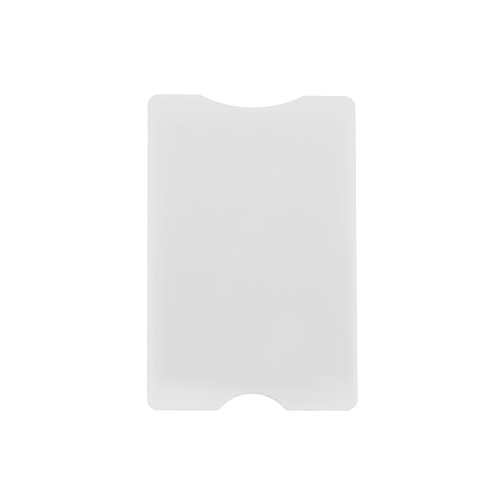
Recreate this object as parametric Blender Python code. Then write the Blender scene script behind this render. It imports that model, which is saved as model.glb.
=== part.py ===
"""A hard plastic case for one bank card, modelled in metres with +Z up.

The case lies on its back. The rear cover's outer face is at Z = 0, the card's mouth and the
wide thumb notch are at +Y, and the closed end with its small push notch is at -Y.
The front shell is moulded with the rails that stand round the card's slot, and the flat rear
cover is welded onto them. Each of the two holds a shield foil, stuck on a film of adhesive
in a shallow recess inside its wall.
"""

import math
from collections import namedtuple

import bmesh
import bpy

MM = 0.001

# The bank card that the case is made round
CARD_LENGTH = 85.60 * MM
CARD_WIDTH = 53.98 * MM
CARD_THICKNESS = 0.76 * MM
CARD_EMBOSSING = 0.46 * MM

# Room round the card in its slot
CARD_SIDE_PLAY = 0.41 * MM
CARD_FACE_PLAY = 0.38 * MM
CARD_SETBACK = 2.90 * MM
SLOT_CORNER_RADIUS = 2.00 * MM

# Walls of the shell and the cover, and the shell's rails
FRONT_WALL = 1.20 * MM
REAR_WALL = 1.20 * MM
SIDE_RAIL = 2.60 * MM
END_RAIL = 2.50 * MM

# Outer form: corner radii are those of the flat faces, inside the rounded edge
EDGE_ROUNDING = 0.80 * MM
FACE_CORNER_RADIUS = 2.30 * MM
FACE_NOTCH_CORNER_RADIUS = 0.70 * MM
THUMB_NOTCH_RADIUS = 33.00 * MM
THUMB_NOTCH_DEPTH = 3.60 * MM
PUSH_NOTCH_RADIUS = 12.00 * MM
PUSH_NOTCH_DEPTH = 4.80 * MM
LEAD_IN = 0.30 * MM
LEAST_SIDE_LAND = 0.05 * MM

# Welded joint between the shell's rails and the cover
WELD_GAP = 0.05 * MM
SEAM_CHAMFER = 0.20 * MM
TONGUE_WIDTH = 0.70 * MM
TONGUE_HEIGHT = 0.45 * MM
TONGUE_DRAFT = 0.08 * MM
TONGUE_CLEARANCE = 0.10 * MM
TONGUE_END_GAP = 0.90 * MM

# Shield foils and their adhesive
FOIL_THICKNESS = 0.08 * MM
ADHESIVE_THICKNESS = 0.04 * MM
STICKER_PLAY = 0.01 * MM
FOIL_RAIL_MARGIN = 0.40 * MM
FOIL_THUMB_NOTCH_MARGIN = 2.90 * MM
FOIL_PUSH_NOTCH_MARGIN = 2.70 * MM
FOIL_CORNER_RADIUS = 4.00 * MM
FOIL_RECESS_CLEARANCE = 0.10 * MM
ADHESIVE_INSET = 0.50 * MM

# Surface colours, as linear red, green and blue, and roughness
SHELL_WHITE = (0.80, 0.80, 0.80)
SHELL_ROUGHNESS = 0.42
FOIL_GREY = (0.62, 0.63, 0.64)
FOIL_ROUGHNESS = 0.35
GLUE_CLEAR = (0.75, 0.74, 0.70)
GLUE_ROUGHNESS = 0.60

# How finely the round stretches are faceted
FACET_ERROR = 0.012 * MM
FEWEST_ARC_STEPS = 4
EDGE_ROUNDING_STEPS = 5

# How far a cutter passes the surface it cuts, and how deep an added form is rooted
CUTTER_OVERRUN = 0.50 * MM
ROOT_DEPTH = 0.30 * MM

# Sizes that follow from those above
SLOT_WIDTH = CARD_WIDTH + 2 * CARD_SIDE_PLAY
SLOT_HEIGHT = CARD_THICKNESS + CARD_EMBOSSING + CARD_FACE_PLAY
CASE_WIDTH = SLOT_WIDTH + 2 * SIDE_RAIL
CASE_LENGTH = END_RAIL + CARD_LENGTH + CARD_SETBACK
CASE_THICKNESS = REAR_WALL + SLOT_HEIGHT + FRONT_WALL
CORNER_RADIUS = FACE_CORNER_RADIUS + EDGE_ROUNDING
NOTCH_CORNER_RADIUS = FACE_NOTCH_CORNER_RADIUS + EDGE_ROUNDING
MOUTH_Y = CASE_LENGTH / 2
CLOSED_END_Y = -CASE_LENGTH / 2
SLOT_END_Y = CLOSED_END_Y + END_RAIL
PARTING_Z = REAR_WALL
FOIL_WIDTH = SLOT_WIDTH - 2 * FOIL_RAIL_MARGIN
FOIL_TOP_Y = MOUTH_Y - THUMB_NOTCH_DEPTH - FOIL_THUMB_NOTCH_MARGIN
FOIL_END_Y = CLOSED_END_Y + PUSH_NOTCH_DEPTH + FOIL_PUSH_NOTCH_MARGIN
RECESS_DEPTH = ADHESIVE_THICKNESS + FOIL_THICKNESS + 3 * STICKER_PLAY

# An arc of the outline. Its turn is 1 where it bulges out and -1 where it is hollow.
Arc = namedtuple("Arc", "centre radius turn start end")

# A wall of the case: its node's name, its outer face's height, the way inwards and its thickness
Wall = namedtuple("Wall", "name outer_z inward thickness")
FRONT = Wall("front", CASE_THICKNESS, -1, FRONT_WALL)
REAR = Wall("rear", 0.0, 1, REAR_WALL)


def height(wall, depth):
    """Z of a level that lies this deep under the wall's outer face."""
    return wall.outer_z + wall.inward * depth


def notch_corner_x(notch_radius, notch_depth):
    """X of the rounded corner where a notch runs out into the straight edge."""
    across = notch_radius - notch_depth + NOTCH_CORNER_RADIUS
    return math.sqrt((notch_radius + NOTCH_CORNER_RADIUS) ** 2 - across**2)


def notch_arcs(notch_radius, notch_depth, half_turn):
    """Corner, hollow and corner of a notch in the +Y edge, turned by half_turn about Z."""
    corner_x = notch_corner_x(notch_radius, notch_depth)
    corner_y = CASE_LENGTH / 2 - NOTCH_CORNER_RADIUS
    centre_y = CASE_LENGTH / 2 + notch_radius - notch_depth
    lean = math.atan2(centre_y - corner_y, corner_x)
    up = math.pi / 2
    arcs = (
        Arc((corner_x, corner_y), NOTCH_CORNER_RADIUS, 1, up, math.pi - lean),
        Arc((0.0, centre_y), notch_radius, -1, -lean, lean - math.pi),
        Arc((-corner_x, corner_y), NOTCH_CORNER_RADIUS, 1, lean, up),
    )
    way = round(math.cos(half_turn))
    return [
        arc._replace(
            centre=(way * arc.centre[0], way * arc.centre[1]),
            start=arc.start + half_turn,
            end=arc.end + half_turn,
        )
        for arc in arcs
    ]


def corner_arc(side, end):
    """Outer corner on the given side of X and end of Y, each 1 or -1."""
    centre = (side * (CASE_WIDTH / 2 - CORNER_RADIUS), end * (CASE_LENGTH / 2 - CORNER_RADIUS))
    middle = math.atan2(end, side)
    return Arc(centre, CORNER_RADIUS, 1, middle - math.pi / 4, middle + math.pi / 4)


def outline_arcs():
    """All arcs of the case's outline, anticlockwise from the closed end's right corner."""
    return [
        corner_arc(1, -1),
        corner_arc(1, 1),
        *notch_arcs(THUMB_NOTCH_RADIUS, THUMB_NOTCH_DEPTH, 0.0),
        corner_arc(-1, 1),
        corner_arc(-1, -1),
        *notch_arcs(PUSH_NOTCH_RADIUS, PUSH_NOTCH_DEPTH, math.pi),
    ]


def arc_points(arc, inset=0.0):
    """Points along an arc that is moved into the material by inset. Its centre stays."""
    step = 2 * math.acos(1 - FACET_ERROR / arc.radius)
    count = max(FEWEST_ARC_STEPS, math.ceil(abs(arc.end - arc.start) / step))
    radius = arc.radius - arc.turn * inset
    angles = [arc.start + (arc.end - arc.start) * i / count for i in range(count + 1)]
    return [
        (arc.centre[0] + radius * math.cos(angle), arc.centre[1] + radius * math.sin(angle))
        for angle in angles
    ]


def case_outline(inset=0.0):
    """The case's outline, moved inwards by inset. Straight edges join the arcs' ends."""
    points = []
    for arc in outline_arcs():
        for point in arc_points(arc, inset):
            if not points or math.dist(point, points[-1]) > STICKER_PLAY:
                points.append(point)
    return points


def rounded_rectangle(width, low_y, high_y, radius):
    """Outline of a sheet or pocket that is centred on X = 0."""
    points = []
    for side, end in ((1, -1), (1, 1), (-1, 1), (-1, -1)):
        y = high_y - radius if end > 0 else low_y + radius
        middle = math.atan2(end, side)
        centre = (side * (width / 2 - radius), y)
        points += arc_points(Arc(centre, radius, 1, middle - math.pi / 4, middle + math.pi / 4))
    return points


def at_height(outline, z):
    return [(x, y, z) for x, y in outline]


def skin(rings):
    """A solid through rings of equal length, capped at both ends."""
    mesh = bmesh.new()
    rows = [[mesh.verts.new(point) for point in ring] for ring in rings]
    mesh.faces.new(rows[0])
    mesh.faces.new(rows[-1])
    for first, second in zip(rows, rows[1:]):
        for i in range(len(first)):
            mesh.faces.new((first[i - 1], first[i], second[i], second[i - 1]))
    bmesh.ops.recalc_face_normals(mesh, faces=mesh.faces)
    return mesh


def prism(outline, low_z, high_z):
    return skin([at_height(outline, low_z), at_height(outline, high_z)])


def joined(meshes):
    """One mesh that holds the separate solids of several."""
    whole = bmesh.new()
    for mesh in meshes:
        data = bpy.data.meshes.new("solid")
        mesh.to_mesh(data)
        mesh.free()
        whole.from_mesh(data)
        bpy.data.meshes.remove(data)
    return whole


def add_object(name, mesh):
    data = bpy.data.meshes.new(name)
    mesh.to_mesh(data)
    mesh.free()
    data.shade_smooth()
    data.set_sharp_from_angle(angle=math.radians(30))
    thing = bpy.data.objects.new(name, data)
    bpy.context.scene.collection.objects.link(thing)
    return thing


def apply_tool(part, name, mesh, operation):
    """Cuts a hidden tool from the part or joins it on, and returns the tool."""
    tool = add_object(name, mesh)
    tool.hide_render = True
    tool.display_type = "WIRE"
    step = part.modifiers.new(name, "BOOLEAN")
    step.operation = operation
    step.solver = "EXACT"
    step.object = tool
    return tool


def wall_plate(wall):
    """A wall: flat face, rounded edge, side land and a lead-in on the inner edge."""
    rounding = min(EDGE_ROUNDING, wall.thickness - LEAD_IN - LEAST_SIDE_LAND)
    rings = []
    for i in range(EDGE_ROUNDING_STEPS + 1):
        angle = math.pi / 2 * i / EDGE_ROUNDING_STEPS
        inset = rounding * (1 - math.sin(angle))
        depth = rounding * (1 - math.cos(angle))
        rings.append(at_height(case_outline(inset), height(wall, depth)))
    rings.append(at_height(case_outline(), height(wall, wall.thickness - LEAD_IN)))
    rings.append(at_height(case_outline(LEAD_IN), height(wall, wall.thickness)))
    return skin(rings)


def rail_block():
    """The case's full outline from the front wall's side land to the chamfered weld face."""
    weld_z = PARTING_Z + WELD_GAP
    return skin(
        [
            at_height(case_outline(), height(FRONT, FRONT_WALL - LEAD_IN)),
            at_height(case_outline(), weld_z + SEAM_CHAMFER),
            at_height(case_outline(SEAM_CHAMFER), weld_z),
        ]
    )


def slot_tool():
    """The card's slot in plan, open at the mouth, through the full height of the rails."""
    beyond_mouth = MOUTH_Y + SLOT_CORNER_RADIUS + CUTTER_OVERRUN
    outline = rounded_rectangle(SLOT_WIDTH, SLOT_END_Y, beyond_mouth, SLOT_CORNER_RADIUS)
    low = PARTING_Z - CUTTER_OVERRUN
    return prism(outline, low, height(FRONT, FRONT_WALL - LEAD_IN) + CUTTER_OVERRUN)


def recess_tool(wall):
    """The shallow pocket that the foil and its adhesive are stuck into."""
    outline = rounded_rectangle(
        FOIL_WIDTH + 2 * FOIL_RECESS_CLEARANCE,
        FOIL_END_Y - FOIL_RECESS_CLEARANCE,
        FOIL_TOP_Y + FOIL_RECESS_CLEARANCE,
        FOIL_CORNER_RADIUS + FOIL_RECESS_CLEARANCE,
    )
    floor = height(wall, wall.thickness - RECESS_DEPTH)
    return prism(outline, floor, height(wall, wall.thickness + CUTTER_OVERRUN))


def rail_line(inset, end_gap):
    """Line along the right side rail, round the corner and along the closed end's rail."""
    corner = corner_arc(1, -1)
    arc = arc_points(corner, inset)
    notch_x = notch_corner_x(PUSH_NOTCH_RADIUS, PUSH_NOTCH_DEPTH)
    start = (notch_x + end_gap, CLOSED_END_Y + inset)
    finish = (CASE_WIDTH / 2 - inset, MOUTH_Y - CORNER_RADIUS - end_gap)
    return [start, *arc, finish]


def rail_strip(width, end_gap):
    """Outline of a strip along the middle of the rails."""
    middle = min(SIDE_RAIL, END_RAIL) / 2
    outer = rail_line(middle - width / 2, end_gap)
    inner = rail_line(middle + width / 2, end_gap)
    return outer + inner[::-1]


def both_sides(strips):
    """The strip's solid on the right rail and its mirror image on the left one."""
    left = [[(-x, y, z) for x, y, z in ring] for ring in strips]
    return joined([skin(strips), skin(left)])


def tongue_solids():
    """Tongues that hang from the rails into the cover, with a little draft."""
    root = rail_strip(TONGUE_WIDTH, TONGUE_END_GAP)
    tip = rail_strip(TONGUE_WIDTH - 2 * TONGUE_DRAFT, TONGUE_END_GAP + TONGUE_DRAFT)
    root_z = PARTING_Z + WELD_GAP + ROOT_DEPTH
    return both_sides([at_height(root, root_z), at_height(tip, PARTING_Z - TONGUE_HEIGHT)])


def groove_tool():
    """Grooves in the rear cover, a clearance wider, longer and deeper than the tongues."""
    width = TONGUE_WIDTH + 2 * TONGUE_CLEARANCE
    strip = rail_strip(width, TONGUE_END_GAP - TONGUE_CLEARANCE)
    floor = PARTING_Z - TONGUE_HEIGHT - TONGUE_CLEARANCE
    return both_sides([at_height(strip, floor), at_height(strip, PARTING_Z + CUTTER_OVERRUN)])


def add_material(part, colour, roughness, metallic=0.0):
    material = bpy.data.materials.new(part.name)
    material.use_nodes = True
    shader = material.node_tree.nodes["Principled BSDF"]
    shader.inputs["Base Color"].default_value = (*colour, 1.0)
    shader.inputs["Roughness"].default_value = roughness
    shader.inputs["Metallic"].default_value = metallic
    part.data.materials.append(material)


def add_front_shell():
    """The front wall and the rails as one moulding, with tongues to weld by."""
    shell = add_object("front_shell", wall_plate(FRONT))
    rails = apply_tool(shell, "rails", rail_block(), "UNION")
    apply_tool(rails, "card_slot", slot_tool(), "DIFFERENCE")
    apply_tool(rails, "weld_tongues", tongue_solids(), "UNION")
    apply_tool(shell, "front_recess", recess_tool(FRONT), "DIFFERENCE")
    add_material(shell, SHELL_WHITE, SHELL_ROUGHNESS)


def add_rear_cover():
    """The flat cover, with grooves for the shell's tongues."""
    cover = add_object("rear_cover", wall_plate(REAR))
    apply_tool(cover, "weld_grooves", groove_tool(), "DIFFERENCE")
    apply_tool(cover, "rear_recess", recess_tool(REAR), "DIFFERENCE")
    add_material(cover, SHELL_WHITE, SHELL_ROUGHNESS)


def film(wall, depth, thickness, inset):
    """A flat sheet in the wall's recess, this deep under the outer face."""
    outline = rounded_rectangle(
        FOIL_WIDTH - 2 * inset,
        FOIL_END_Y + inset,
        FOIL_TOP_Y - inset,
        FOIL_CORNER_RADIUS - inset,
    )
    return prism(outline, height(wall, depth), height(wall, depth + thickness))


def add_sticker(wall):
    """The adhesive against the wall, then the shield foil that it holds."""
    glue_depth = wall.thickness - RECESS_DEPTH + STICKER_PLAY
    foil_depth = glue_depth + ADHESIVE_THICKNESS + STICKER_PLAY
    glue_film = film(wall, glue_depth, ADHESIVE_THICKNESS, ADHESIVE_INSET)
    glue = add_object(f"{wall.name}_foil_adhesive", glue_film)
    add_material(glue, GLUE_CLEAR, GLUE_ROUGHNESS)
    foil = add_object(f"{wall.name}_shield_foil", film(wall, foil_depth, FOIL_THICKNESS, 0.0))
    add_material(foil, FOIL_GREY, FOIL_ROUGHNESS, metallic=1.0)


def clear_scene():
    for thing in list(bpy.data.objects):
        bpy.data.objects.remove(thing)


clear_scene()
add_front_shell()
add_rear_cover()
add_sticker(REAR)
add_sticker(FRONT)
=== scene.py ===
"""A hard plastic case for one bank card, finished for its portrait.

The case lies on its back. The card's mouth and the wide thumb notch are at +Y, and the closed end
with its small push notch is at -Y. The pieces follow in the order in which the case is put
together: the front shell, the films of adhesive, the shield foils that they hold, and the rear
cover that closes it. The floor, the lamps and the camera come last. Everything is in metres, +Z
up, unless a name or a comment says otherwise.
"""

import math

import bmesh
import bpy
import numpy as np
from mathutils import Euler, Matrix, Vector


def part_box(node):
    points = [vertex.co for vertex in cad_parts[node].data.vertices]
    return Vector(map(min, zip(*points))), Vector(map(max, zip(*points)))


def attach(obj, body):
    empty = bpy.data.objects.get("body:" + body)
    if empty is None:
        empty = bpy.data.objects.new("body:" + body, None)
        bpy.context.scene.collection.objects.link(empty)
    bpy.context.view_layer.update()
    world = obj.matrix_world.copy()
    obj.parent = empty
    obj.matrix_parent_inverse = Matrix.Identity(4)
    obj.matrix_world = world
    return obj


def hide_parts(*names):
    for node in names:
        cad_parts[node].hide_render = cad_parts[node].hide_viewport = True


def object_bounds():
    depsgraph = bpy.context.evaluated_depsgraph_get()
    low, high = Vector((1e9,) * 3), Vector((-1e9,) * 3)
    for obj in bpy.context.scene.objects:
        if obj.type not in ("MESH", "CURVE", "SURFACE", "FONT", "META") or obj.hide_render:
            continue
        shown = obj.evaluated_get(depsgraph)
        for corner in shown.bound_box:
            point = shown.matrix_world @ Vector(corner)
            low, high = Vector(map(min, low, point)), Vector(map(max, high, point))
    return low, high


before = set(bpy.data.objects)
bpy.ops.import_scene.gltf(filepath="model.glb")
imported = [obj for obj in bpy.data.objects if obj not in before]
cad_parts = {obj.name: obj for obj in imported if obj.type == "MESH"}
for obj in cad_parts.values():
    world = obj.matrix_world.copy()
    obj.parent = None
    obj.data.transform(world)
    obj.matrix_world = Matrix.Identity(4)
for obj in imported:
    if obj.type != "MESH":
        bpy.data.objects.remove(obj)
cad_low, cad_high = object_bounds()


# Front shell: the case's face and the rails round the card's slot, one moulding in milky white
# plastic with an etched surface. Two tongues under its rails drop into the cover, where they are
# welded. The slot is open at the mouth, and breaks through at the push notch.

MM = 0.001

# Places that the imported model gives
case_side = cad_high.x
case_end = cad_high.y
case_top = cad_high.z
cover_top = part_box("rear_cover")[1].z
tongue_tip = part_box("front_shell")[0].z
foil_low, foil_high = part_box("front_shield_foil")

# Plan of the case
CORNER_RADIUS = 3.10 * MM
NOTCH_CORNER_RADIUS = 1.50 * MM
THUMB_NOTCH_RADIUS = 33.00 * MM
THUMB_NOTCH_DEPTH = 3.60 * MM
PUSH_NOTCH_RADIUS = 12.00 * MM
PUSH_NOTCH_DEPTH = 4.80 * MM

# Slot, rails and the pocket that the foil is stuck in
SLOT_HEIGHT = 1.60 * MM
SLOT_CORNER_RADIUS = 2.00 * MM
SIDE_RAIL = 2.60 * MM
END_RAIL = 2.50 * MM
FOIL_CORNER_RADIUS = 4.00 * MM
POCKET_CLEARANCE = 0.10 * MM
POCKET_DEPTH = 0.15 * MM

# Edges: the face's, the mouth's lip and the seam over the cover
FACE_ROUNDING = 0.80 * MM
LIP_ROUNDING = 0.30 * MM
SEAM_ROUNDING = 0.20 * MM
WELD_GAP = 0.05 * MM

# Tongues along the middle of the rails
TONGUE_WIDTH = 0.70 * MM
TONGUE_DRAFT = 0.08 * MM
TONGUE_END_GAP = 0.90 * MM

# Stretches of the outline's right half, clockwise from the thumb notch's deepest point to the push
# notch's, each with what lies behind it and its number of points, both ends among them. The slot
# is open behind an open stretch, and a joint is a rail with its tongue. Every ring of a moulding
# has the same stretches, so that each ring joins the next point for point.
STRETCHES = {
    "thumb_hollow": ("open", 34),
    "thumb_corner": ("open", 9),
    "mouth_edge": ("open", 14),
    "mouth_corner": ("open", 4),
    "rail_corner": ("side_rail", 22),
    "rail_end": ("side_rail", 2),
    "upper_side": ("joint", 9),
    "side": ("joint", 84),
    "lower_side": ("joint", 10),
    "closed_corner": ("joint", 26),
    "closed_edge": ("joint", 19),
    "closed_rail_end": ("end_rail", 2),
    "push_corner": ("end_rail", 14),
    "push_flank": ("end_rail", 11),
    "push_hollow": ("open", 29),
}

# Fineness of the surfaces, and the angle from which an edge is left sharp
FACE_ROUNDING_STEPS = 12
LIP_STEPS = 5
FACE_RINGS = 13
POCKET_RINGS = 9
MERGE_DISTANCE = 0.0001 * MM
SHARP_ANGLE = math.radians(30)

# Places that follow from these sizes: the slot's walls and ceiling, the face welded to the cover,
# the middle of the tongues inwards from the rim, and the centres of the outline's arcs
slot_side = case_side - SIDE_RAIL
slot_end = -case_end + END_RAIL
slot_ceiling = cover_top + SLOT_HEIGHT
weld_face = cover_top + WELD_GAP
tongue_inset = min(SIDE_RAIL, END_RAIL) / 2
corner_x = case_side - CORNER_RADIUS
corner_y = case_end - CORNER_RADIUS
notch_corner_y = case_end - NOTCH_CORNER_RADIUS
thumb_y = case_end + THUMB_NOTCH_RADIUS - THUMB_NOTCH_DEPTH
push_y = -case_end - PUSH_NOTCH_RADIUS + PUSH_NOTCH_DEPTH


def notch_corner(radius, depth):
    """(X of a notch's rounded corner, lean in degrees of the line from the notch's centre to the
    corner's). The two arcs touch, so their centres lie the sum of their radii apart."""
    across = radius - depth + NOTCH_CORNER_RADIUS
    reach = radius + NOTCH_CORNER_RADIUS
    return math.sqrt(reach**2 - across**2), math.degrees(math.asin(across / reach))


thumb_corner_x, thumb_lean = notch_corner(THUMB_NOTCH_RADIUS, THUMB_NOTCH_DEPTH)
push_corner_x, push_lean = notch_corner(PUSH_NOTCH_RADIUS, PUSH_NOTCH_DEPTH)


def arc(count, centre, radius, start, end):
    """That many points in plan along a circle: the centre plus the radius times the cosine and
    the sine of angles spaced evenly from start to end, in degrees."""
    angle = np.radians(np.linspace(start, end, count))
    return np.array(centre) + radius * np.column_stack((np.cos(angle), np.sin(angle)))


def straight(count, first, last):
    """That many points in plan, spaced evenly from first to last."""
    return np.linspace(first, last, count)


def rim(inset, joint_gap=TONGUE_END_GAP):
    """The right half of the outline, moved inwards by inset, as each stretch's points by its name.
    Every arc keeps its centre: a bulging one loses inset from its radius and a hollow one gains
    it. Two arcs are split where the slot's wall meets them, at an angle that follows from the
    radius left. The joint stops that gap short of the straight side's and the closed end's ends."""
    side, end = case_side - inset, case_end - inset
    corner_radius, notch_radius = CORNER_RADIUS - inset, NOTCH_CORNER_RADIUS - inset
    thumb_radius, push_radius = THUMB_NOTCH_RADIUS + inset, PUSH_NOTCH_RADIUS + inset
    at_mouth = math.degrees(math.acos((slot_side - corner_x) / corner_radius))
    at_notch = math.degrees(math.asin((slot_end - push_y) / push_radius))
    joint_top = (side, corner_y - joint_gap)
    joint_end = (push_corner_x + joint_gap, -end)
    pocket_top = (side, foil_high.y - FOIL_CORNER_RADIUS)
    pocket_end = (side, foil_low.y + FOIL_CORNER_RADIUS)
    shapes = {
        "thumb_hollow": (arc, (0, thumb_y), thumb_radius, -90, -thumb_lean),
        "thumb_corner": (arc, (thumb_corner_x, notch_corner_y), notch_radius, 180 - thumb_lean, 90),
        "mouth_edge": (straight, (thumb_corner_x, end), (corner_x, end)),
        "mouth_corner": (arc, (corner_x, corner_y), corner_radius, 90, at_mouth),
        "rail_corner": (arc, (corner_x, corner_y), corner_radius, at_mouth, 0),
        "rail_end": (straight, (side, corner_y), joint_top),
        "upper_side": (straight, joint_top, pocket_top),
        "side": (straight, pocket_top, pocket_end),
        "lower_side": (straight, pocket_end, (side, -corner_y)),
        "closed_corner": (arc, (corner_x, -corner_y), corner_radius, 0, -90),
        "closed_edge": (straight, (corner_x, -end), joint_end),
        "closed_rail_end": (straight, joint_end, (push_corner_x, -end)),
        "push_corner": (arc, (push_corner_x, -notch_corner_y), notch_radius, -90, push_lean - 180),
        "push_flank": (arc, (0, push_y), push_radius, push_lean, at_notch),
        "push_hollow": (arc, (0, push_y), push_radius, at_notch, 90),
    }
    return {name: shape(STRETCHES[name][1], *values) for name, (shape, *values) in shapes.items()}


def slot_line(inset, joint_gap=TONGUE_END_GAP):
    """Foot of the rails' inner wall: straight down the side, round the closed corner and along
    the closed end. It starts and stops on the rim of that inset, and open stretches keep it."""
    line = rim(inset, joint_gap)
    turn_x, turn_y = slot_side - SLOT_CORNER_RADIUS, slot_end + SLOT_CORNER_RADIUS
    for name in ("rail_corner", "rail_end", "upper_side", "side", "lower_side"):
        last_y = turn_y if name == "lower_side" else line[name][-1, 1]
        first, last = (slot_side, line[name][0, 1]), (slot_side, last_y)
        line[name] = straight(len(line[name]), first, last)
    corner_points = len(line["closed_corner"])
    line["closed_corner"] = arc(corner_points, (turn_x, turn_y), SLOT_CORNER_RADIUS, 0, -90)
    for name in ("closed_edge", "closed_rail_end", "push_corner", "push_flank"):
        first_x = turn_x if name == "closed_edge" else line[name][0, 0]
        first, last = (first_x, slot_end), (line[name][-1, 0], slot_end)
        line[name] = straight(len(line[name]), first, last)
    return line


def sheet_edge(half_width, low_y, high_y, radius):
    """Right half of a rounded rectangle's edge, stretch for stretch beside the rim's. Each round
    corner's 90 degrees are shared out among the stretches beside it, in equal steps, and the two
    ends have the rim's X in proportion to their width."""
    line = rim(0.0)
    turn_x, top_y, end_y = half_width - radius, high_y - radius, low_y + radius
    line["side"] = straight(len(line["side"]), (half_width, top_y), (half_width, end_y))
    for names, centre, start in (
        (("mouth_corner", "rail_corner", "rail_end", "upper_side"), (turn_x, top_y), 90.0),
        (("lower_side", "closed_corner"), (turn_x, end_y), 0.0),
    ):
        turn_per_step = 90.0 / sum(len(line[name]) - 1 for name in names)
        for name in names:
            count = len(line[name])
            end = start - turn_per_step * (count - 1)
            line[name] = arc(count, centre, radius, start, end)
            start = end
    for names, y in (
        (("thumb_hollow", "thumb_corner", "mouth_edge"), high_y),
        (("closed_edge", "closed_rail_end", "push_corner", "push_flank", "push_hollow"), low_y),
    ):
        for name in names:
            x = line[name][:, 0] * turn_x / corner_x
            line[name] = np.column_stack((x, np.full(len(x), y)))
    return line


def whole(line):
    """All stretches of a line as one array of points in plan."""
    return np.concatenate(list(line.values()))


def behind(kind):
    """For each point of a line, whether this kind of thing lies behind its stretch."""
    kinds, counts = zip(*STRETCHES.values())
    return np.repeat(np.array(kinds) == kind, counts)


is_open = behind("open")
is_joint = behind("joint")
rail_width = np.where(behind("side_rail"), SIDE_RAIL, END_RAIL)


def ring(points, z):
    """A closed ring: the right half's points at height z, then their mirror image backwards."""
    half = np.column_stack((points, np.broadcast_to(z, len(points))))
    return np.concatenate((half, half[::-1] * (-1, 1, 1)))


def disc_rings(line, z, shares, centre_y=0.0):
    """Rings of a flat face: its edge drawn in towards the centre to each share of its size."""
    centre = np.array((0.0, centre_y))
    edge = whole(line)
    return [ring(centre + (edge - centre) * share, z) for share in shares]


def rounding(radius, steps):
    """(inset, rise) of the points of a quarter round from an upright side to a flat face: the
    radius times one less the angle's cosine, and the radius times its sine."""
    angle = np.linspace(0, math.pi / 2, steps + 1)
    return list(zip(radius * (1 - np.cos(angle)), radius * np.sin(angle)))


def joint_rings(lip, slot, lip_inset, crossings, flat_z, open_z):
    """Rings across the rails' flat face, one for each (inset, gap at the joint's ends, height).
    Beside the joint they stay flat and share out the way from the lip to the slot, and at the
    mouth they lie together on the lip."""
    outer, inner = whole(lip), whole(slot)
    rings = []
    for inset, end_gap, height in crossings:
        share = ((inset - lip_inset) / (rail_width - lip_inset))[:, None]
        points = outer + (inner - outer) * share
        points = np.where(is_joint[:, None], whole(rim(inset, end_gap)), points)
        points = np.where(is_open[:, None], outer, points)
        rings.append(ring(points, np.where(is_joint, height, np.where(is_open, open_z, flat_z))))
    return rings


def pocket_rings(mouth_z, floor_z):
    """Rings of a foil's pocket, from its edge down the step and in to the middle of its floor."""
    low_y, high_y = foil_low.y - POCKET_CLEARANCE, foil_high.y + POCKET_CLEARANCE
    half_width = foil_high.x + POCKET_CLEARANCE
    edge = sheet_edge(half_width, low_y, high_y, FOIL_CORNER_RADIUS + POCKET_CLEARANCE)
    shares = np.linspace(1, 0, POCKET_RINGS)
    return [ring(whole(edge), mouth_z), *disc_rings(edge, floor_z, shares, (low_y + high_y) / 2)]


def closed_skin(name, rings):
    """A closed surface through rings of equal length: the point at ring i and step j joins those
    at i + 1 and j + 1. Rings are merged where they meet in a point or along an edge."""
    grid = np.array(rings)
    rows, columns = grid.shape[:2]
    index = np.arange(rows * columns).reshape(rows, columns)
    beside = np.roll(index, -1, axis=1)
    quads = np.stack((index[:-1], index[1:], beside[1:], beside[:-1]), axis=-1).reshape(-1, 4)
    data = bpy.data.meshes.new(name)
    data.from_pydata(grid.reshape(-1, 3).tolist(), [], quads.tolist())
    skin = bmesh.new()
    skin.from_mesh(data)
    bmesh.ops.remove_doubles(skin, verts=skin.verts, dist=MERGE_DISTANCE)
    bmesh.ops.recalc_face_normals(skin, faces=skin.faces)
    skin.to_mesh(data)
    skin.free()
    data.shade_smooth()
    data.set_sharp_from_angle(angle=SHARP_ANGLE)
    piece = bpy.data.objects.new(name, data)
    bpy.context.scene.collection.objects.link(piece)
    return piece


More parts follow.
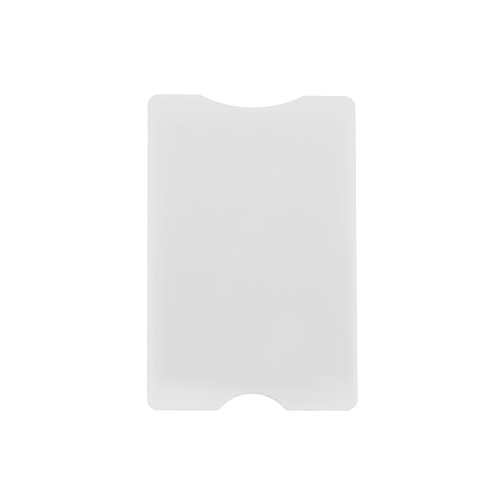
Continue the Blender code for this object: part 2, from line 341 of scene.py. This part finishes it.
def front_shell_rings():
    """From the middle of the face out over its rounded edge, down the side, across the weld face
    with the tongue, up the slot's wall, and along the ceiling into the foil's pocket."""
    rings = disc_rings(rim(FACE_ROUNDING), case_top, np.linspace(0, 1, FACE_RINGS))
    for inset, rise in reversed(rounding(FACE_ROUNDING, FACE_ROUNDING_STEPS)):
        rings.append(ring(whole(rim(inset)), case_top - FACE_ROUNDING + rise))

    # Where the slot is open the side ends at the mouth's lip, and elsewhere at the seam
    lip_top = slot_ceiling + LIP_ROUNDING
    seam_top = weld_face + SEAM_ROUNDING
    rings.append(ring(whole(rim(0.0)), lip_top))
    lip_steps, seam_steps = rounding(LIP_ROUNDING, LIP_STEPS), rounding(SEAM_ROUNDING, LIP_STEPS)
    for (lip_inset, lip_drop), (seam_inset, seam_drop) in zip(lip_steps, seam_steps):
        points = np.where(is_open[:, None], whole(rim(lip_inset)), whole(rim(seam_inset)))
        rings.append(ring(points, np.where(is_open, lip_top - lip_drop, seam_top - seam_drop)))

    # The tongue is drawn in by its draft towards the tip, along its sides and at its ends
    seam, lip = rim(SEAM_ROUNDING), rim(LIP_ROUNDING)
    edge = {name: (lip if kind == "open" else seam)[name] for name, (kind, _) in STRETCHES.items()}
    foot, ceiling = slot_line(SEAM_ROUNDING), whole(slot_line(LIP_ROUNDING))
    root, tip = TONGUE_WIDTH / 2, TONGUE_WIDTH / 2 - TONGUE_DRAFT
    crossings = (
        (tongue_inset - root, TONGUE_END_GAP, weld_face),
        (tongue_inset - tip, TONGUE_END_GAP + TONGUE_DRAFT, tongue_tip),
        (tongue_inset + tip, TONGUE_END_GAP + TONGUE_DRAFT, tongue_tip),
        (tongue_inset + root, TONGUE_END_GAP, weld_face),
    )
    rings += joint_rings(edge, foot, SEAM_ROUNDING, crossings, weld_face, slot_ceiling)

    # The slot's wall stands on the weld face, and shrinks to nothing where the slot is open
    wall_foot = np.where(is_open[:, None], ceiling, whole(foot))
    rings.append(ring(wall_foot, np.where(is_open, slot_ceiling, weld_face)))
    rings.append(ring(ceiling, slot_ceiling))
    return rings + pocket_rings(slot_ceiling, slot_ceiling + POCKET_DEPTH)


def add_node(tree, kind, inputs=None, **settings):
    """A shader node with these settings. Each of its inputs, by name or number, takes a value or
    another node's output."""
    node = tree.nodes.new(kind)
    for key, value in settings.items():
        setattr(node, key, value)
    for key, value in (inputs or {}).items():
        if isinstance(value, bpy.types.NodeSocket):
            tree.links.new(value, node.inputs[key])
        else:
            node.inputs[key].default_value = value
    return node


def new_material(name):
    """(material, its node tree, its shader, the point's place on the object in millimetres)."""
    material = bpy.data.materials.new(name)
    material.use_nodes = True
    tree = material.node_tree
    place = add_node(tree, "ShaderNodeTexCoord").outputs["Object"]
    inputs = {"Vector": place, "Scale": 1 / MM}
    in_mm = add_node(tree, "ShaderNodeVectorMath", inputs, operation="SCALE").outputs[0]
    return material, tree, tree.nodes["Principled BSDF"], in_mm


def maths(tree, operation, *values):
    """What a maths node gives for these values."""
    return add_node(tree, "ShaderNodeMath", dict(enumerate(values)), operation=operation).outputs[0]


def ramp(tree, value, low, high, to_low=0.0, to_high=1.0, kind="LINEAR"):
    """The value carried over from the range low to high to the range to_low to to_high, which it
    never leaves. With s as its share of the way from low to high, that is to_low plus s times the
    way from to_low to to_high. A SMOOTHSTEP takes s squared times (3 - 2 s) instead of s."""
    inputs = {
        "Value": value,
        "From Min": low,
        "From Max": high,
        "To Min": to_low,
        "To Max": to_high,
    }
    return add_node(tree, "ShaderNodeMapRange", inputs, interpolation_type=kind).outputs[0]


def noise(tree, place, waves_per_mm, detail):
    """Soft noise of that many waves per millimetre, with that many finer layers on top."""
    inputs = {"Vector": place, "Scale": waves_per_mm, "Detail": detail}
    return add_node(tree, "ShaderNodeTexNoise", inputs).outputs["Fac"]


def paint(tree, shader, red, green, blue):
    """Gives the shader's base colour these three values."""
    colour = add_node(tree, "ShaderNodeCombineColor", {"Red": red, "Green": green, "Blue": blue})
    tree.links.new(colour.outputs[0], shader.inputs["Base Color"])


def texture_surface(tree, shader, height, strength, depth, roughness):
    """Gives the shader a bump of this height, strength and depth, and this roughness."""
    inputs = {"Height": height, "Strength": strength, "Distance": depth}
    bump = add_node(tree, "ShaderNodeBump", inputs)
    tree.links.new(bump.outputs[0], shader.inputs["Normal"])
    tree.links.new(roughness, shader.inputs["Roughness"])


# The foil shows through the plastic as a grey panel with soft edges, and painted shade leaves it
# darker towards the closed end. The places of its fades and marks are in millimetres from the
# middle of the case, or inwards from its side.

# Fades at the sides: where each starts and is complete, inwards from the nearer side, and its
# share of the whole. The first is past the rail's wall, and the others are past the foil's edge.
RAIL_FADE = (1.15, 2.65, 0.53)
FOIL_EDGE_FADE = (2.9, 6.0, 0.34)
DEEP_FADE = (5.0, 11.0, 0.13)

# At the right the fades past the rail's wall and past the foil's edge shift with Y: the Y where
# each shift starts and is complete, and how far inwards each lies at those two places
RAIL_FADE_SHIFT = (31.0, -12.5, 0.70, -0.80)
FOIL_FADE_SHIFT = (9.7, -4.0, 0.42, -2.15)

# Fades at the mouth: the Y where each starts and is complete, and its share of the whole. The
# second dips a millimetre under the thumb notch, and the curve is how fast that dip dies away.
LIP_FADE = (44.4, 42.9, 0.20)
MOUTH_FADE = (41.2, 35.5, 0.57)
UPPER_FADE = (37.0, 23.5, 0.23)
THUMB_CURVE = 0.008

# Fades at the closed end. The left one is a straight band between two Y. The right one dies away
# below a line, in that depth, and the line rises: the X where its rise starts and is complete,
# and its Y at those two places. The first gives way to the second between two X. The right one's
# slow fade is the foil's edge and painted shade, which leaves the closed end darker at the right.
LEFT_END_FADE = (-42.1, -34.9)
RIGHT_END_LINE = (14.7, 25.5, -38.4, -35.2)
RIGHT_END_DEPTH = 6.75
LEFT_TO_RIGHT = (-19.5, 2.5)


def side_share(tree, x, y):
    """Sum of the three fades at the sides, at the distance inwards from the nearer side. At the
    right what the shift gives at Y is taken off that distance first."""
    half_width = case_side / MM
    from_left = maths(tree, "ADD", x, half_width)
    from_right = maths(tree, "SUBTRACT", half_width, x)
    rail_right = maths(tree, "SUBTRACT", from_right, ramp(tree, y, *RAIL_FADE_SHIFT, "SMOOTHSTEP"))
    foil_right = maths(tree, "SUBTRACT", from_right, ramp(tree, y, *FOIL_FADE_SHIFT, "SMOOTHSTEP"))
    past_rail = maths(tree, "MINIMUM", from_left, rail_right)
    past_foil = maths(tree, "MINIMUM", from_left, foil_right)
    total = 0.0
    for inwards, (start, end, share), kind in (
        (past_rail, RAIL_FADE, "LINEAR"),
        (past_foil, FOIL_EDGE_FADE, "SMOOTHSTEP"),
        (past_foil, DEEP_FADE, "SMOOTHSTEP"),
    ):
        total = maths(tree, "ADD", ramp(tree, inwards, start, end, 0.0, share, kind), total)
    return total


def mouth_share(tree, x, y):
    """Sum of the three fades at the mouth, at Y. For the one that dips under the thumb notch, e to
    the power of minus the curve times X squared is added to Y first."""
    across = maths(tree, "MULTIPLY", x, x)
    at_notch = maths(tree, "EXPONENT", maths(tree, "MULTIPLY", across, -THUMB_CURVE))
    below_notch = maths(tree, "ADD", y, at_notch)
    total = 0.0
    for height, (start, end, share) in (
        (y, LIP_FADE),
        (below_notch, MOUTH_FADE),
        (y, UPPER_FADE),
    ):
        fade = ramp(tree, height, start, end, 0.0, share, "SMOOTHSTEP")
        total = maths(tree, "ADD", fade, total)
    return total


def end_share(tree, x, y):
    """The two fades at the closed end. The right one is one above its line, and below it e to the
    power of Y less the line's, over the depth. With X the left one gives way to it: the result is
    the right one plus their difference times the left one's share."""
    left_end = ramp(tree, y, *LEFT_END_FADE, kind="SMOOTHSTEP")
    # Below this line the grey is partly the foil's and partly painted shade at the closed end's
    # right
    above = maths(tree, "SUBTRACT", y, ramp(tree, x, *RIGHT_END_LINE, "SMOOTHSTEP"))
    depth = maths(tree, "MINIMUM", maths(tree, "DIVIDE", above, RIGHT_END_DEPTH), 0.0)
    right_end = maths(tree, "EXPONENT", depth)
    leftness = ramp(tree, x, *LEFT_TO_RIGHT, 1.0, 0.0, "SMOOTHSTEP")
    difference = maths(tree, "SUBTRACT", left_end, right_end)
    return maths(tree, "MULTIPLY_ADD", difference, leftness, right_end)


def foil_share(tree, x, y):
    """How much of the foil shows through the plastic at X and Y: the product of what the sides,
    the mouth and the closed end let through."""
    share = maths(tree, "MULTIPLY", side_share(tree, x, y), mouth_share(tree, x, y))
    return maths(tree, "MULTIPLY", share, end_share(tree, x, y))


# Soft marks where the front foil lies closer to the wall or further off: (X, Y), turn in degrees,
# half width, half length and how much paler each is than the grey around it
MARKS = {
    "patch": ((10.2, -23.3), -7, 4.9, 5.4, 0.019),
    "patch_tail": ((5.8, -29.6), 10, 2.4, 3.2, 0.017),
    "streak": ((-0.1, 7.5), -28, 2.8, 7.7, 0.009),
    "spot_above_streak": ((7.0, 22.5), -10, 1.1, 2.2, 0.015),
    "spot_below_streak": ((-5.0, -1.2), 7, 1.8, 2.2, 0.011),
    "faint_spot": ((-8.7, -11.1), 0, 2.1, 2.9, 0.006),
    "corner_patch": ((21.2, -37.1), 5, 3.7, 1.8, 0.018),
    "dark_spot": ((-20.8, 34.4), -4, 2.2, 3.1, -0.015),
}

# White of the solid plastic, and its grey over the foil, which goes over from the closed end's to
# the mouth's between these two Y. That change is painted shade, darker at the closed end.
BORDER_WHITE = 0.802
FOIL_GREY_AT_END = 0.7255
FOIL_GREY_AT_MOUTH = 0.756
FOIL_GREY_SHADE_RUN = (-19.5, 23.0)

# Noises in the plastic, each with its waves per millimetre and its detail, and the range that
# they keep to. The clouds vary the white by this little, handling wears the surface more in some
# places than in others, and the etching is the mould's.
CLOUDS = (0.06, 3.0)
CLOUD_WHITE = 0.003
HANDLING = (0.25, 4.0)
ETCHING = (6.0, 3.0)
NOISE_RANGE = (0.3, 0.7)

# The plastic's depth and surface
MILKINESS = 0.25
LIGHT_REACH = 1.2 * MM
GLOSS = 0.35
ETCHING_DEPTH = 0.006 * MM
ETCHING_STRENGTH = 0.35
PLASTIC_ROUGHNESS = (0.40, 0.52)


def soft_mark(tree, place, centre, turn, half_width, half_length, lift):
    """A soft-edged oval mark in the front: lift times e to the power of minus the fourth power of
    the distance from its centre on the face, in half widths and half lengths along its axes. Down
    into the case the unit is half its thickness, so that nothing shows at the back."""
    inputs = {
        "Vector": place,
        "Location": (*centre, case_top / MM),
        "Rotation": (0.0, 0.0, math.radians(turn)),
        "Scale": (half_width, half_length, case_top / 2 / MM),
    }
    local = add_node(tree, "ShaderNodeMapping", inputs, vector_type="TEXTURE").outputs[0]
    length = add_node(tree, "ShaderNodeVectorMath", {"Vector": local}, operation="LENGTH")
    fourth_power = maths(tree, "POWER", length.outputs["Value"], 4.0)
    fall = maths(tree, "MULTIPLY", fourth_power, -1.0)
    return maths(tree, "MULTIPLY", maths(tree, "EXPONENT", fall), lift)


def milky_plastic():
    """White plastic that lets a little light through, so that the foil behind it shows. Its colour
    is the border's white plus the foil's share times the grey less that white, plus the clouds."""
    material, tree, shader, place = new_material("milky_white_plastic")
    axes = add_node(tree, "ShaderNodeSeparateXYZ", {"Vector": place}).outputs
    x, y = axes["X"], axes["Y"]
    # The grey over the foil is painted darker towards the closed end, as shade
    grey = ramp(tree, y, *FOIL_GREY_SHADE_RUN, FOIL_GREY_AT_END, FOIL_GREY_AT_MOUTH)
    for mark in MARKS.values():
        grey = maths(tree, "ADD", grey, soft_mark(tree, place, *mark))
    darkening = maths(tree, "SUBTRACT", grey, BORDER_WHITE)
    white = maths(tree, "MULTIPLY_ADD", darkening, foil_share(tree, x, y), BORDER_WHITE)
    clouds = ramp(tree, noise(tree, place, *CLOUDS), *NOISE_RANGE, -CLOUD_WHITE, CLOUD_WHITE)
    white = maths(tree, "ADD", white, clouds)
    paint(tree, shader, white, white, white)
    shader.inputs["Specular IOR Level"].default_value = GLOSS
    shader.inputs["Subsurface Weight"].default_value = MILKINESS
    shader.inputs["Subsurface Radius"].default_value = (1.0, 1.0, 1.0)
    shader.inputs["Subsurface Scale"].default_value = LIGHT_REACH
    roughness = ramp(tree, noise(tree, place, *HANDLING), *NOISE_RANGE, *PLASTIC_ROUGHNESS)
    etching = noise(tree, place, *ETCHING)
    texture_surface(tree, shader, etching, ETCHING_STRENGTH, ETCHING_DEPTH, roughness)
    return material


plastic = milky_plastic()
front_moulding = closed_skin("front_moulding", front_shell_rings())
front_moulding.data.materials.append(plastic)
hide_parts("front_shell")
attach(front_moulding, "root")


# Adhesive films: a thin clear film holds each foil to its wall. They are cut smaller than the
# foil, which hides them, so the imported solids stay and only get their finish.

# Bubbles: how many to a millimetre, and where each one's edge starts and ends, from its middle,
# as shares of the space between two
BUBBLES_PER_MM = 0.8
BUBBLE_EDGE = (0.10, 0.35)
BUBBLE_DEPTH = 0.01 * MM
BUBBLE_STRENGTH = 0.3

# The film's white inside and beside a bubble, and its blue as a share of that
FILM_MILKY = 0.82
FILM_CLEAR = 0.74
FILM_WARMTH = 0.95
FILM_ROUGHNESS = (0.35, 0.60)


def pressed_film():
    """Clear film gone slightly yellow, with small milky bubbles pressed into it."""
    material, tree, shader, place = new_material("clear_adhesive")
    inputs = {"Vector": place, "Scale": BUBBLES_PER_MM}
    bubble = add_node(tree, "ShaderNodeTexVoronoi", inputs).outputs["Distance"]
    milky = ramp(tree, bubble, *BUBBLE_EDGE, FILM_MILKY, FILM_CLEAR, "SMOOTHSTEP")
    paint(tree, shader, milky, milky, maths(tree, "MULTIPLY", milky, FILM_WARMTH))
    roughness = ramp(tree, bubble, *BUBBLE_EDGE, *FILM_ROUGHNESS)
    texture_surface(tree, shader, bubble, BUBBLE_STRENGTH, BUBBLE_DEPTH, roughness)
    return material


adhesive = pressed_film()
for name in ("front_foil_adhesive", "rear_foil_adhesive"):
    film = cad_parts[name]
    film.data.materials.clear()
    film.data.materials.append(adhesive)


# Shield foils: one sheet of soft aluminium behind each wall, cut with round corners and pressed
# on by hand, so it has shallow waves, dents and the fine lines of the rolling mill.

FOIL_RINGS = 31

# Waves of the sheet: the radians of each to a millimetre along X and along Y, and where it starts.
# The height is a mean of the first times the second, the third, and the first, in these shares.
WAVE_HEIGHT = 0.008 * MM
WAVES = ((0.62, 0.21, 0.0), (0.17, -0.48, 1.3), (0.33, 0.74, 2.1))
CROSSED_SHARE = 0.5
THIRD_SHARE = 0.3
FIRST_SHARE = 0.2

# Dents, and the rolling mill's lines, with their number to a millimetre along each axis, their
# detail and the range of their values. A line is as deep as this share of a dent.
DENTS_PER_MM = 0.22
DENT_DEPTH = 0.05 * MM
DENT_STRENGTH = 0.5
LINES_PER_MM = (9.0, 0.25, 1.0)
LINE_DETAIL = 4.0
LINE_RANGE = (0.25, 0.75)
LINE_SHARE = 0.08

# The sheet's grey, its blue as a share of that, and its roughness
FOIL_GREYS = (0.56, 0.68)
FOIL_BLUE = 1.015
FOIL_ROUGHNESS = (0.28, 0.42)


def wave_heights(points):
    """Height of the sheet's waves, always less than its play under the adhesive: a mean of sine
    waves, one of them times another, so that no wave repeats across the sheet."""
    x, y = points[:, 0] / MM, points[:, 1] / MM
    first, second, third = (np.sin(per_x * x + per_y * y + start) for per_x, per_y, start in WAVES)
    mean = CROSSED_SHARE * first * second + THIRD_SHARE * third + FIRST_SHARE * first
    return WAVE_HEIGHT * mean


def foil_rings(low, high):
    """From the middle of the sheet's lower face to its edge and back along the upper face, both
    lifted by the same waves."""
    edge = whole(sheet_edge(high.x, low.y, high.y, FOIL_CORNER_RADIUS))
    centre = np.array((0.0, (low.y + high.y) / 2))
    outward = np.linspace(0, 1, FOIL_RINGS)
    rings = []
    for z, shares in ((low.z, outward), (high.z, outward[::-1])):
        for share in shares:
            points = centre + (edge - centre) * share
            sheet = ring(points, z)
            sheet[:, 2] += wave_heights(sheet)
            rings.append(sheet)
    return rings


def rolled_aluminium():
    """Soft aluminium with the rolling mill's lines along Y and shallow dents from handling."""
    material, tree, shader, place = new_material("rolled_aluminium")
    shader.inputs["Metallic"].default_value = 1.0
    drawn = add_node(tree, "ShaderNodeMapping", {"Vector": place, "Scale": LINES_PER_MM})
    lines = noise(tree, drawn.outputs[0], 1.0, LINE_DETAIL)
    inputs = {"Vector": place, "Scale": DENTS_PER_MM}
    dents = add_node(tree, "ShaderNodeTexVoronoi", inputs, feature="SMOOTH_F1").outputs["Distance"]
    grey = ramp(tree, lines, *LINE_RANGE, *FOIL_GREYS)
    paint(tree, shader, grey, grey, maths(tree, "MULTIPLY", grey, FOIL_BLUE))
    height = maths(tree, "MULTIPLY_ADD", lines, LINE_SHARE, dents)
    roughness = ramp(tree, lines, *LINE_RANGE, *FOIL_ROUGHNESS)
    texture_surface(tree, shader, height, DENT_STRENGTH, DENT_DEPTH, roughness)
    return material


aluminium = rolled_aluminium()
for side in ("front", "rear"):
    foil = closed_skin(f"{side}_foil_sheet", foil_rings(*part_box(f"{side}_shield_foil")))
    foil.data.materials.append(aluminium)
    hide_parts(f"{side}_shield_foil")
    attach(foil, "root")


# Rear cover: the flat back of the case, moulded in the same plastic and welded to the shell, whose
# tongues drop into its two grooves. Its upper edge is rounded at the mouth and along the seam.

GROOVE_CLEARANCE = 0.10 * MM


def rear_cover_rings():
    """From the middle of the back out over its rounded edge, up the side, round the lip, across
    the weld face with the groove, and into the foil's pocket."""
    gap = TONGUE_END_GAP - GROOVE_CLEARANCE
    rings = disc_rings(rim(FACE_ROUNDING, gap), 0.0, np.linspace(0, 1, FACE_RINGS))
    for inset, rise in reversed(rounding(FACE_ROUNDING, FACE_ROUNDING_STEPS)):
        rings.append(ring(whole(rim(inset, gap)), FACE_ROUNDING - rise))
    for inset, rise in rounding(LIP_ROUNDING, LIP_STEPS):
        rings.append(ring(whole(rim(inset, gap)), cover_top - LIP_ROUNDING + rise))

    # The groove is the tongue with this clearance all round
    half = TONGUE_WIDTH / 2 + GROOVE_CLEARANCE
    groove_floor = tongue_tip - GROOVE_CLEARANCE
    crossings = (
        (tongue_inset - half, gap, cover_top),
        (tongue_inset - half, gap, groove_floor),
        (tongue_inset + half, gap, groove_floor),
        (tongue_inset + half, gap, cover_top),
    )
    lip, slot = rim(LIP_ROUNDING, gap), slot_line(LIP_ROUNDING, gap)
    rings += joint_rings(lip, slot, LIP_ROUNDING, crossings, cover_top, cover_top)
    rings.append(ring(whole(slot), cover_top))
    return rings + pocket_rings(cover_top, cover_top - POCKET_DEPTH)


rear_moulding = closed_skin("rear_moulding", rear_cover_rings())
rear_moulding.data.materials.append(plastic)
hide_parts("rear_cover")
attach(rear_moulding, "root")


# Floor and air: a wide sheet of matt white paper, which keeps a faint shadow of the case, under an
# even pale sky. Both look white in the picture, and light the case less than that.

FLOOR_HALF_WIDTH = 4.0
FLOOR_GAP = 0.02 * MM
SKY_LIGHT = 0.80

# The paper's white and the glow that is added to it, first in the light that it gives the case,
# and then in the picture
PAPER_AS_LIGHT = (0.88, 0.10)
PAPER_IN_VIEW = (0.12, 0.93)


def seen_directly(tree):
    """1 for what the camera sees itself, in a gloss or through glass, and 0 for other light."""
    path = add_node(tree, "ShaderNodeLightPath").outputs
    mirrored = maths(tree, "MAXIMUM", path["Is Glossy Ray"], path["Is Transmission Ray"])
    return maths(tree, "MAXIMUM", path["Is Camera Ray"], mirrored)


def glowing_paper(tree, white, glow):
    """A matt white sheet that also gives off light of its own."""
    matt = add_node(tree, "ShaderNodeBsdfDiffuse", {"Color": (white, white, white, 1)})
    light = add_node(tree, "ShaderNodeEmission", {"Strength": glow})
    inputs = {0: matt.outputs[0], 1: light.outputs[0]}
    return add_node(tree, "ShaderNodeAddShader", inputs).outputs[0]


paper = bpy.data.materials.new("white_paper")
paper.use_nodes = True
paper_tree = paper.node_tree
paper_tree.nodes.remove(paper_tree.nodes["Principled BSDF"])
paper_inputs = {
    0: seen_directly(paper_tree),
    1: glowing_paper(paper_tree, *PAPER_AS_LIGHT),
    2: glowing_paper(paper_tree, *PAPER_IN_VIEW),
}
paper_surface = add_node(paper_tree, "ShaderNodeMixShader", paper_inputs).outputs[0]
paper_tree.links.new(paper_surface, paper_tree.nodes["Material Output"].inputs["Surface"])

floor_data = bpy.data.meshes.new("floor")
floor_corners = [
    (x * FLOOR_HALF_WIDTH, y * FLOOR_HALF_WIDTH, -FLOOR_GAP)
    for x, y in ((-1, -1), (1, -1), (1, 1), (-1, 1))
]
floor_data.from_pydata(floor_corners, [], [(0, 1, 2, 3)])
floor_data.materials.append(paper)
floor = bpy.data.objects.new("floor", floor_data)
bpy.context.scene.collection.objects.link(floor)

sky = bpy.data.worlds.new("sky")
sky.use_nodes = True
sky_strength = ramp(sky.node_tree, seen_directly(sky.node_tree), 0.0, 1.0, SKY_LIGHT, 1.0)
backdrop = sky.node_tree.nodes["Background"]
backdrop.inputs["Color"].default_value = (1, 1, 1, 1)
sky.node_tree.links.new(sky_strength, backdrop.inputs["Strength"])
bpy.context.scene.world = sky


# Lamps: a large soft box high over the closed end and the right, and a weaker one across from it
# that fills the shadows. Both face the middle of the case and stay out of the picture.


def soft_box(name, place, width, watts):
    """A square lamp at this place, turned so that its own -Z points at the case."""
    light = bpy.data.lights.new(name, "AREA")
    light.shape = "SQUARE"
    light.size = width
    light.energy = watts
    lamp = bpy.data.objects.new(name, light)
    lamp.location = place
    lamp.rotation_euler = (-Vector(place)).to_track_quat("-Z", "Y").to_euler()
    lamp.visible_camera = False
    bpy.context.scene.collection.objects.link(lamp)


soft_box("key_lamp", place=(0.7, -0.7, 2.7), width=2.2, watts=13.2)
soft_box("fill_lamp", place=(-1.4, 0.5, 2.3), width=1.8, watts=4.9)


# Camera: a long lens nearly overhead, a little towards the closed end and the left. Its turn and
# focal length are those at which the case's four edges fall where they do in the picture.

# Turn of the case in the camera's view in degrees, how far off it lies, and how far it is moved
# right and up in the view
VIEW_TURN = (-7.64, 3.80, -0.37)
VIEW_DISTANCE = 800.0 * MM
VIEW_OFFSET = (0.46 * MM, -0.83 * MM)
FOCAL_LENGTH_PIXELS = 2781.4
PICTURE_PIXELS = 500
SENSOR_WIDTH_MM = 36.0

to_camera = Euler([math.radians(angle) for angle in VIEW_TURN], "XYZ").to_matrix()
from_camera = to_camera.transposed()
case_in_view = Vector((*VIEW_OFFSET, -VIEW_DISTANCE))
lens = bpy.data.cameras.new("camera")
lens.sensor_width = SENSOR_WIDTH_MM
lens.lens = SENSOR_WIDTH_MM * FOCAL_LENGTH_PIXELS / PICTURE_PIXELS
camera = bpy.data.objects.new("camera", lens)
camera.matrix_world = Matrix.Translation(-(from_camera @ case_in_view)) @ from_camera.to_4x4()
bpy.context.scene.collection.objects.link(camera)
bpy.context.scene.camera = camera
bpy.context.scene.view_settings.view_transform = "Standard"


# Last, the scene is brought up to date.

bpy.context.view_layer.update()
